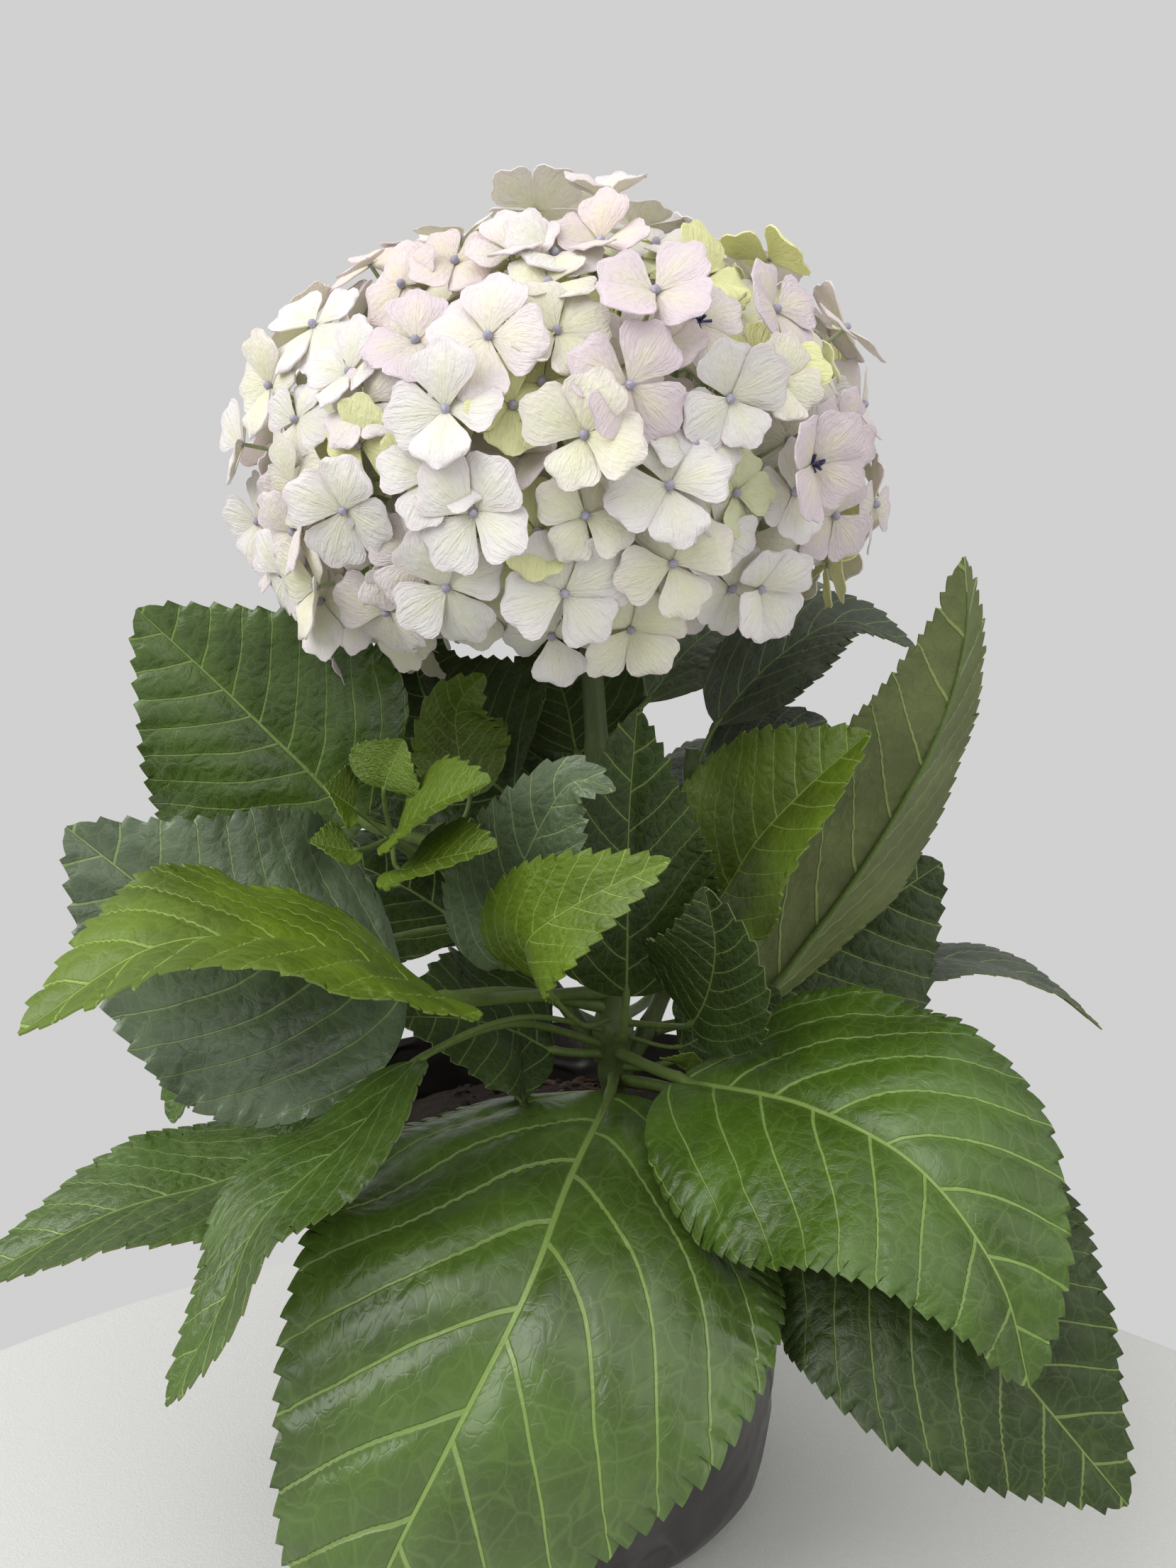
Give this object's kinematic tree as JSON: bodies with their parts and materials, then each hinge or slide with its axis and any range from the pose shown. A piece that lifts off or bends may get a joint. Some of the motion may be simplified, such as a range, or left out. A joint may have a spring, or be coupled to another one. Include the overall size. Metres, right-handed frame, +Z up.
{
  "type": "potted mophead hydrangea shrub",
  "caption": "Young mophead hydrangea in a soft nursery grow bag: one domed white-lilac bloom over broad serrated leaves on a short leaning stem.",
  "frame": {"origin": "centre of the grow bag's flat underside, on the surface it stands on", "axes": "+Z up, out of the bag's mouth; -Y towards the front, where the largest leaf hangs over the rim; +X to the plant's right as seen from the front"},
  "size_m": [0.3756, 0.2814, 0.4329],
  "materials": {
    "bag_film": "soft black polythene film, creased, satin",
    "soil": "moist peat compost with dry crumbs",
    "stem_green": "green herbaceous stem with small lenticels",
    "leaf_green": "broad leaf, satin, raised pale veins",
    "young_leaf": "young leaf, brighter, satin",
    "petals": "papery white sepals with a lilac tint"
  },
  "bodies": {
    "root": {"grow_bag": "bag_film", "soil": "soil", "main_stem": "stem_green", "left_shoot": "stem_green", "right_shoot": "stem_green", "leaf_front": "leaf_green", "leaf_right_front": "leaf_green", "leaf_right_low": "leaf_green", "leaf_right_dark": "leaf_green", "leaf_far_right": "leaf_green", "leaf_curled": "leaf_green", "leaf_folded": "leaf_green", "leaf_right_high": "leaf_green", "leaf_high_right": "leaf_green", "leaf_right_mid": "leaf_green", "leaf_blue_green": "leaf_green", "leaf_centre": "leaf_green", "leaf_young_bright": "leaf_green", "leaf_young_right": "leaf_green", "leaf_centre_right": "leaf_green", "leaf_centre_left": "leaf_green", "leaf_left_round": "leaf_green", "leaf_left_dark": "leaf_green", "leaf_left_bright": "leaf_green", "leaf_left_low": "leaf_green", "leaf_left_long": "leaf_green", "leaf_left_small": "leaf_green", "leaf_back_left": "leaf_green", "leaf_under_bloom": "leaf_green", "leaf_left_young": "leaf_green", "leaf_rear_left_low": "leaf_green", "leaf_rear_right_low": "leaf_green", "leaf_rear": "leaf_green", "leaf_rear_left_high": "leaf_green", "leaf_rear_right_high": "leaf_green", "leaf_rear_high": "leaf_green", "leaf_left_back": "leaf_green", "tuft_left": "young_leaf", "tuft_right": "young_leaf", "flower_head": "petals"}
  },
  "joints": []
}
